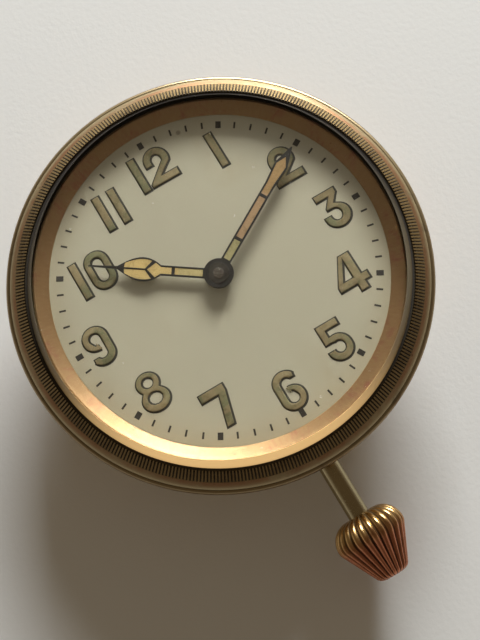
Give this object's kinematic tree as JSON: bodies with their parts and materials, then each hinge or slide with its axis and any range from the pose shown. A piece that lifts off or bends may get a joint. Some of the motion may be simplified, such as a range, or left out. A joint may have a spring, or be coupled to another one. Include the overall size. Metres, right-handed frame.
{
  "type": "car clock",
  "caption": "Round dashboard clock with a coin-edge bezel, bevelled glass, white dial, lever movement and a long winding stem with a fluted crown.",
  "frame": {"origin": "on the clock's axis, on the outer face of the rear cover", "axes": "+Z out of the dial towards the viewer, +Y towards 12 o'clock, -Y along the winding stem, +X towards 3 o'clock"},
  "size_m": [0.07, 0.09, 0.0215],
  "materials": {
    "gilt_brass": "gilt, worn satin",
    "brass": "grained",
    "copper_gilt": "polished, darkened gilt",
    "steel": "polished",
    "blued_steel": "blued",
    "ruby": "polished ruby",
    "glass": "clear, bevelled",
    "gasket": "matt black",
    "dial_white": "aged white enamel paint",
    "hand_black": "matt black",
    "lume": "aged luminous compound"
  },
  "bodies": {
    "clock_frame": {"case_body": "gilt_brass", "stem_tube": "gilt_brass", "reflector_ring": "copper_gilt", "dial_plate": "dial_white", "movement_ring": "brass", "case_clamps": "steel", "main_plate": "brass", "barrel_bridge": "brass", "train_bridge": "brass", "balance_cock": "brass", "pallet_cock": "brass", "bridge_screws": "blued_steel", "small_screws": "blued_steel", "train_jewels": "ruby", "hairspring": "blued_steel", "click_spring": "blued_steel"},
    "bezel_and_glass": {"bezel": "gilt_brass", "coin_edge": "gilt_brass", "glass": "glass", "glass_gasket": "gasket"},
    "back_cover": {"rear_cover": "gilt_brass"},
    "centre_train": {"minute_hand": "hand_black", "minute_hand_lume": "lume", "minute_hand_collet": "steel", "cannon_pinion": "steel", "centre_wheel": "brass", "centre_arbor": "steel"},
    "hour_train": {"hour_hand": "hand_black", "hour_hand_lume": "lume", "hour_wheel": "brass"},
    "minute_work": {"minute_wheel": "brass"},
    "setting_work": {"setting_wheel": "steel"},
    "intermediate_train": {"intermediate_wheel": "brass", "intermediate_pinion": "steel"},
    "going_barrel": {"barrel": "brass", "barrel_cover": "brass", "mainspring": "steel"},
    "third_train": {"third_wheel": "brass", "third_pinion": "steel"},
    "fourth_train": {"fourth_wheel": "brass", "fourth_pinion": "steel"},
    "escape_train": {"escape_wheel": "brass", "escape_pinion": "steel"},
    "ratchet_train": {"ratchet_wheel": "steel", "barrel_arbor": "steel", "ratchet_screw": "blued_steel"},
    "crown_wheel_work": {"crown_wheel": "steel"},
    "winding_work": {"winding_pinion": "steel"},
    "stem_and_crown": {"winding_stem": "steel", "crown": "gilt_brass"},
    "clutch": {"sliding_clutch": "steel"},
    "lever_for_setting": {"setting_lever": "steel"},
    "clutch_yoke": {"yoke": "steel"},
    "pallets": {"pallet_fork": "steel", "pallet_stones": "ruby", "pallet_arbor": "steel"},
    "balance": {"balance_wheel": "brass", "balance_staff": "steel"},
    "regulator_lever": {"regulator": "steel"},
    "ratchet_click": {"click": "steel"}
  },
  "joints": [
    {"name": "minute_turn", "type": "hinge", "parent": "clock_frame", "child": "centre_train", "pos_m": [0, 0, 0], "axis": [0, 0, -1], "continuous": true},
    {"name": "hour_turn", "type": "hinge", "parent": "clock_frame", "child": "hour_train", "pos_m": [0, 0, 0], "axis": [0, 0, -1], "continuous": true},
    {"name": "minute_wheel_turn", "type": "hinge", "parent": "clock_frame", "child": "minute_work", "pos_m": [0, -0.005, 0], "axis": [0, 0, -1], "continuous": true},
    {"name": "setting_wheel_turn", "type": "hinge", "parent": "clock_frame", "child": "setting_work", "pos_m": [0, -0.01021, 0], "axis": [0, 0, -1], "continuous": true},
    {"name": "intermediate_turn", "type": "hinge", "parent": "clock_frame", "child": "intermediate_train", "pos_m": [-0.00423, 0.0051, 0], "axis": [0, 0, -1], "continuous": true},
    {"name": "barrel_turn", "type": "hinge", "parent": "clock_frame", "child": "going_barrel", "pos_m": [-0.01127, -0.00302, 0], "axis": [0, 0, -1], "continuous": true},
    {"name": "third_turn", "type": "hinge", "parent": "clock_frame", "child": "third_train", "pos_m": [0.00634, -0.00231, 0], "axis": [0, 0, -1], "continuous": true},
    {"name": "fourth_turn", "type": "hinge", "parent": "clock_frame", "child": "fourth_train", "pos_m": [0.01178, -0.00135, 0], "axis": [0, 0, -1], "continuous": true},
    {"name": "escape_turn", "type": "hinge", "parent": "clock_frame", "child": "escape_train", "pos_m": [0.01495, 0.00287, 0], "axis": [0, 0, -1], "continuous": true},
    {"name": "winding_turn", "type": "hinge", "parent": "clock_frame", "child": "winding_work", "pos_m": [0, 0, 0.008], "axis": [0, -1, 0], "continuous": true},
    {"name": "crown_wheel_turn", "type": "hinge", "parent": "clock_frame", "child": "crown_wheel_work", "pos_m": [0, -0.01045, 0], "axis": [0, 0, 1], "continuous": true},
    {"name": "ratchet_turn", "type": "hinge", "parent": "clock_frame", "child": "ratchet_train", "pos_m": [-0.01127, -0.00302, 0], "axis": [0, 0, 1], "continuous": true},
    {"name": "crown_pull", "type": "slide", "parent": "winding_work", "child": "stem_and_crown", "axis": [0, -1, 0], "range_m": [0, 0.0012]},
    {"name": "clutch_slide", "type": "slide", "parent": "winding_work", "child": "clutch", "axis": [0, 1, 0], "range_m": [0, 0.00091]},
    {"name": "setting_lever_turn", "type": "hinge", "parent": "clock_frame", "child": "lever_for_setting", "pos_m": [0.0046, -0.01755, 0], "axis": [0, 0, 1], "range_deg": [0, 15.1]},
    {"name": "yoke_turn", "type": "hinge", "parent": "clock_frame", "child": "clutch_yoke", "pos_m": [-0.0062, -0.01402, 0], "axis": [0, 0, 1], "range_deg": [0, 11.3]},
    {"name": "pallet_swing", "type": "hinge", "parent": "clock_frame", "child": "pallets", "pos_m": [0.01228, 0.00606, 0], "axis": [0, 0, 1], "range_deg": [-5, 5]},
    {"name": "balance_swing", "type": "hinge", "parent": "clock_frame", "child": "balance", "pos_m": [0.00868, 0.01034, 0], "axis": [0, 0, 1], "range_deg": [-270, 270]},
    {"name": "regulator_shift", "type": "hinge", "parent": "clock_frame", "child": "regulator_lever", "pos_m": [0.00868, 0.01034, 0], "axis": [0, 0, 1], "range_deg": [-20, 20]},
    {"name": "click_lift", "type": "hinge", "parent": "clock_frame", "child": "ratchet_click", "pos_m": [-0.00858, 0.00703, 0], "axis": [0, 0, -1], "range_deg": [0, 8]},
    {"name": "bezel_off", "type": "slide", "parent": "clock_frame", "child": "bezel_and_glass", "axis": [0, 0, 1], "range_m": [0, 0.01]},
    {"name": "back_cover_off", "type": "slide", "parent": "clock_frame", "child": "back_cover", "axis": [0, 0, -1], "range_m": [0, 0.008]}
  ],
  "couplings": [
    {"joint": "hour_turn", "follows": "minute_turn", "ratio": 0.083333},
    {"joint": "minute_wheel_turn", "follows": "minute_turn", "ratio": -0.33333},
    {"joint": "setting_wheel_turn", "follows": "minute_turn", "ratio": 0.85714},
    {"joint": "intermediate_turn", "follows": "minute_turn", "ratio": -0.18182},
    {"joint": "barrel_turn", "follows": "minute_turn", "ratio": 0.023923},
    {"joint": "third_turn", "follows": "minute_turn", "ratio": -8},
    {"joint": "fourth_turn", "follows": "minute_turn", "ratio": 60},
    {"joint": "escape_turn", "follows": "minute_turn", "ratio": -600},
    {"joint": "crown_wheel_turn", "follows": "winding_turn", "ratio": 0.45},
    {"joint": "ratchet_turn", "follows": "winding_turn", "ratio": -0.26471},
    {"joint": "clutch_slide", "follows": "crown_pull", "ratio": 0.75},
    {"joint": "setting_lever_turn", "follows": "crown_pull", "rad_per_m": 218.17},
    {"joint": "yoke_turn", "follows": "crown_pull", "rad_per_m": 162.5}
  ]
}
